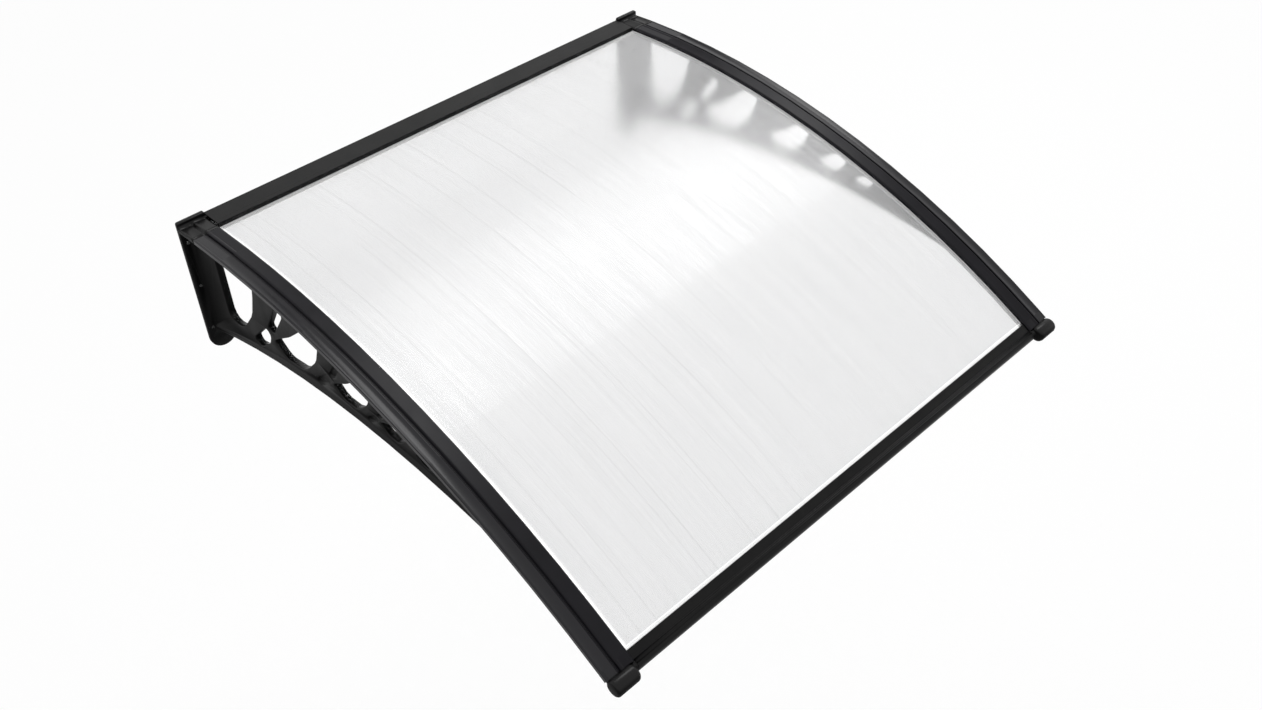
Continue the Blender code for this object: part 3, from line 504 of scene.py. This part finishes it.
def clear_polycarbonate():
    """Clear twin-wall: drawn skins that blur what lies behind them, the more the farther off it is,
    under a thin bright gloss; irregular streaks along the flutes, and a painted glow where the strips
    and bars hold the sheet: a rim painted white that gives off its own light, wider on the left. Each
    rim fades over a share of its width, and ends under its holder."""
    material, tree, shader = bare_material("clear_polycarbonate")
    streaks = drawn_lines(tree, STREAKS, Detail=6.0, Roughness=0.7)
    haze = cloudy_noise(tree, Scale=5.0, Detail=4.0, Roughness=0.5)
    place = node(tree, "ShaderNodeTexCoord").outputs["Object"]
    across = on_axis(tree, place, "X")
    outwards = on_axis(tree, place, "Y")
    painted_glow_rim = 0.0
    for value, edge, width in (
        (across, -HELD_EDGE, LEFT_RIM),
        (across, HELD_EDGE, -RIM),
        (outwards, FRONT_EDGE, FRONT_RIM),
        (outwards, REAR_EDGE, -REAR_RIM),
    ):
        beside = spread(tree, value, edge + width, edge + RIM_FADE * width)
        painted_glow_rim = arithmetic(tree, "MAXIMUM", painted_glow_rim, beside)
    for value, operation, limit in (
        (arithmetic(tree, "ABSOLUTE", across, 0.0), "LESS_THAN", HELD_EDGE + RIM_END),
        (outwards, "GREATER_THAN", FRONT_EDGE - RIM_END),
        (outwards, "LESS_THAN", REAR_EDGE + RIM_END),
    ):
        painted_glow_rim = arithmetic(tree, "MULTIPLY", painted_glow_rim, arithmetic(tree, operation, value, limit))
    tint = blended(tree, spread(tree, streaks, *STREAK_SPAN), STREAK_TINT, CLEAR_TINT)
    # The rim is painted light: white in colour and glowing by its own emission, though it is no lamp.
    tree.links.new(blended(tree, painted_glow_rim, tint, WHITE), shader.inputs["Base Color"])
    tree.links.new(blended(tree, painted_glow_rim, UNLIT, WHITE), shader.inputs["Emission Color"])
    rough = spread(tree, haze, *NOISE_SPAN, *DRAWN_ROUGHNESS)
    tree.links.new(rough, shader.inputs["Roughness"])
    gloss = spread(tree, streaks, *GLOSS_STREAKS, *GLOSS_WEIGHT)
    tree.links.new(gloss, shader.inputs["Coat Weight"])
    showing = node(tree, "ShaderNodeAttribute", {"attribute_name": "showing"})
    tree.links.new(showing.outputs["Fac"], shader.inputs["Alpha"])
    roughened(tree, shader, streaks, STREAK_STRENGTH, STREAK_DEPTH)
    shader.inputs["Transmission Weight"].default_value = CLARITY
    shader.inputs["Emission Strength"].default_value = RIM_GLOW
    shader.inputs["Coat Roughness"].default_value = GLOSS_ROUGHNESS
    shader.inputs["IOR"].default_value = SKIN_BENDING
    return material


sheet = bpy.data.objects.new("roof_panel", twin_wall("roof-panel"))
sheet.data.materials.append(clear_polycarbonate())
bpy.context.scene.collection.objects.link(sheet)
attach(sheet, "root")
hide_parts("roof_sheet")


# The cover strips
# A grooved strip follows each bracket's arc from the wall to the nose and clamps the sheet's side edge.
# It is extruded from a satin black plastic, bent to the arc,
# and held down on the bracket by screws from below.
STRIP_ARRIS_ANGLE = math.radians(14)
OUTER_BAND_STARTS = 0.4815

# On the strips the pale edge colour is wear and also a faint painted highlight along the band edges.
strip_plastic = moulded_plastic(
    "strip_satin",
    black=(0.0068, 0.0062, 0.0092, 1),
    scuffed_and_highlight=(0.034, 0.034, 0.037, 1),
    roughness=(0.29, 0.40),
    sheen_level=0.15,
    dust=0.015,
    wear_and_highlight=0.12,
)
smooth_on_top(strip_plastic, gloss=0.38, coat_roughness=0.20, starts_at=OUTER_BAND_STARTS)
for side in ("left", "right"):
    drawn_from(side + "_cover_strip", strip_plastic, STRIP_ARRIS_ANGLE)


# The screws
# Pan-head screws, five up through each bracket flange into its cover strip and one into each end of
# both bars. They are cold-headed steel with a bright zinc plating, turned in by hand.
ZINC = (0.62, 0.61, 0.58, 1)
ZINC_CLOUDED = (0.50, 0.49, 0.46, 1)
ZINC_RUBBED = (0.72, 0.72, 0.71, 1)
ZINC_ROUGHNESS = (0.26, 0.44)
ZINC_GRAIN_STRENGTH = 0.3
ZINC_GRAIN_DEPTH = 0.00002


def zinc_plate():
    """Bright zinc over steel: cloudy plating with a very fine grain, paler on its rubbed arrises."""
    material, tree, shader = bare_material("zinc_plate")
    grain = placed(tree, MOULDED_GRAIN, Pebbles=2600.0, Clouds=240.0)
    arris = placed(tree, WORN_AND_HIGHLIT_ARRIS, Radius=0.0002, Rubbing=0.5)
    clouded = blended(tree, grain.outputs["Mottle"], ZINC_CLOUDED, ZINC)
    rubbed_and_highlit = blended(tree, arris.outputs["Worn_and_highlight"], clouded, ZINC_RUBBED)
    tree.links.new(rubbed_and_highlit, shader.inputs["Base Color"])
    dull = spread(tree, grain.outputs["Mottle"], 0, 1, *ZINC_ROUGHNESS)
    tree.links.new(dull, shader.inputs["Roughness"])
    height = grain.outputs["Height"]
    roughened(tree, shader, height, ZINC_GRAIN_STRENGTH, ZINC_GRAIN_DEPTH, arris.outputs["Normal"])
    shader.inputs["Metallic"].default_value = 1.0
    return material


zinc = zinc_plate()
for name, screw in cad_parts.items():
    if "_screw" in name:
        screw.data.materials.clear()
        screw.data.materials.append(zinc)


# The studio
# A plain pale floor below the hung canopy and a pale surround, which the camera sees as white.
# One wide lamp hangs overhead in bands that grow dimmer towards the back, with a black card behind it.
FLOOR_DROP = 0.85
FLOOR_HALF = 9.0
FLOOR_SHADES = ((0.88, 0.88, 0.88, 1), (0.90, 0.90, 0.90, 1))
FLOOR_GLOW = 1.03
FLOOR_GLOW_SHARE = 0.90
MATT = 0.9


def matt_paint(title, shades, patch_scale):
    """Matt paint that drifts between two shades: the material, its tree and its Principled shader."""
    material, tree, shader = bare_material(title)
    mottle = cloudy_noise(tree, Scale=patch_scale, Detail=3.0)
    tree.links.new(blended(tree, mottle, *shades), shader.inputs["Base Color"])
    shader.inputs["Roughness"].default_value = MATT
    return material, tree, shader


def seen_as_backdrop(tree):
    """1 for a camera, glossy or transmission ray, and 0 for one that only brings light."""
    rays = node(tree, "ShaderNodeLightPath")
    seen = arithmetic(tree, "MAXIMUM", rays.outputs["Is Camera Ray"], rays.outputs["Is Glossy Ray"])
    return arithmetic(tree, "MAXIMUM", seen, rays.outputs["Is Transmission Ray"])


def pale_floor():
    """Pale matt floor that is seen as plain white, with a share of its own shading left in."""
    material, tree, shader = matt_paint("pale_floor", FLOOR_SHADES, patch_scale=3.0)
    glow = node(tree, "ShaderNodeEmission", Strength=FLOOR_GLOW)
    share = arithmetic(tree, "MULTIPLY", seen_as_backdrop(tree), FLOOR_GLOW_SHARE)
    mix = node(tree, "ShaderNodeMixShader")
    tree.links.new(share, mix.inputs["Fac"])
    tree.links.new(shader.outputs["BSDF"], mix.inputs[1])
    tree.links.new(glow.outputs["Emission"], mix.inputs[2])
    tree.links.new(mix.outputs["Shader"], tree.nodes["Material Output"].inputs["Surface"])
    return material


def level_plane(title, corners, finish):
    """One flat quad through four corners, facing the side from which they run anticlockwise."""
    mesh = bpy.data.meshes.new(title)
    mesh.from_pydata(corners, [], [(0, 1, 2, 3)])
    mesh.materials.append(finish)
    plane = bpy.data.objects.new(title, mesh)
    bpy.context.scene.collection.objects.link(plane)
    return plane


floor_height = CAD_BOX[0].z - FLOOR_DROP
floor_corners = [
    (-FLOOR_HALF, -FLOOR_HALF, floor_height),
    (FLOOR_HALF, -FLOOR_HALF, floor_height),
    (FLOOR_HALF, FLOOR_HALF, floor_height),
    (-FLOOR_HALF, FLOOR_HALF, floor_height),
]
floor = level_plane("floor", floor_corners, pale_floor())

SURROUND_LIGHT = 0.52


def surround():
    """A pale grey surround for light, which the camera, gloss and clear pieces see as white."""
    world = bpy.data.worlds.new("surround")
    world.use_nodes = True
    tree = world.node_tree
    backdrop = tree.nodes["Background"]
    backdrop.inputs["Color"].default_value = WHITE
    strength = spread(tree, seen_as_backdrop(tree), 0, 1, SURROUND_LIGHT, 1.0)
    tree.links.new(strength, backdrop.inputs["Strength"])
    bpy.context.scene.world = world


surround()

LAMP_WIDTH = 2.5
LAMP_ACROSS = 1.35
LAMP_HEIGHT = 1.9
LAMP_FRONT = -0.33
LAMP_RADIANCE = 4.0
LAMP_BANDS = [(0.74, 1.0), (0.13, 0.8), (0.13, 0.6), (0.13, 0.4), (0.13, 0.2)]


def overhead_band(title, place, depth, watts):
    """A soft rectangular lamp, as wide as the others and this deep, that shines straight down."""
    lamp = bpy.data.lights.new(title, "AREA")
    lamp.shape = "RECTANGLE"
    lamp.size = LAMP_WIDTH
    lamp.size_y = depth
    lamp.energy = watts
    made = bpy.data.objects.new(title, lamp)
    made.location = place
    made.visible_camera = False
    bpy.context.scene.collection.objects.link(made)


lamp_edge = LAMP_FRONT
for number, (depth, share) in enumerate(LAMP_BANDS):
    middle = (LAMP_ACROSS, lamp_edge + depth / 2, LAMP_HEIGHT)
    watts = math.pi * LAMP_RADIANCE * share * LAMP_WIDTH * depth
    overhead_band(f"overhead_{number}", middle, depth, watts)
    lamp_edge += depth

CARD_DEPTH = 0.75
CARD_SHADES = ((0.010, 0.010, 0.010, 1), (0.014, 0.014, 0.014, 1))

# The card hangs level at the lamp's height and faces down, so that the roof mirrors a darker strip.
card_left, card_right = LAMP_ACROSS - LAMP_WIDTH / 2, LAMP_ACROSS + LAMP_WIDTH / 2
card_corners = [
    (card_left, lamp_edge, LAMP_HEIGHT),
    (card_left, lamp_edge + CARD_DEPTH, LAMP_HEIGHT),
    (card_right, lamp_edge + CARD_DEPTH, LAMP_HEIGHT),
    (card_right, lamp_edge, LAMP_HEIGHT),
]
card_paint = matt_paint("black_card", CARD_SHADES, patch_scale=5.0)[0]
card = level_plane("black_card", card_corners, card_paint)
card.visible_camera = False


# The camera
# It looks down on the canopy from its left front corner, at the photograph's angle.
# Its place, turn, lens and shift were fitted to points on the frame, in an image of 1262 by 710.
CAMERA_PLACE = (-1.1250002, -1.6872847, 1.1526322)
CAMERA_TURN = (50.0126703, 1.5484807, -44.0169321)
LENS = 36.857729
SENSOR = 36.0
FRAMING_SHIFT = (0.0090338, -0.0171902)
NEAREST = 0.01

camera_data = bpy.data.cameras.new("camera")
camera_data.lens = LENS
camera_data.sensor_width = SENSOR
camera_data.shift_x, camera_data.shift_y = FRAMING_SHIFT
camera_data.clip_start = NEAREST
camera = bpy.data.objects.new("camera", camera_data)
camera.location = CAMERA_PLACE
camera.rotation_euler = [math.radians(turn) for turn in CAMERA_TURN]
bpy.context.scene.collection.objects.link(camera)
bpy.context.scene.camera = camera
bpy.context.scene.view_settings.view_transform = "Standard"
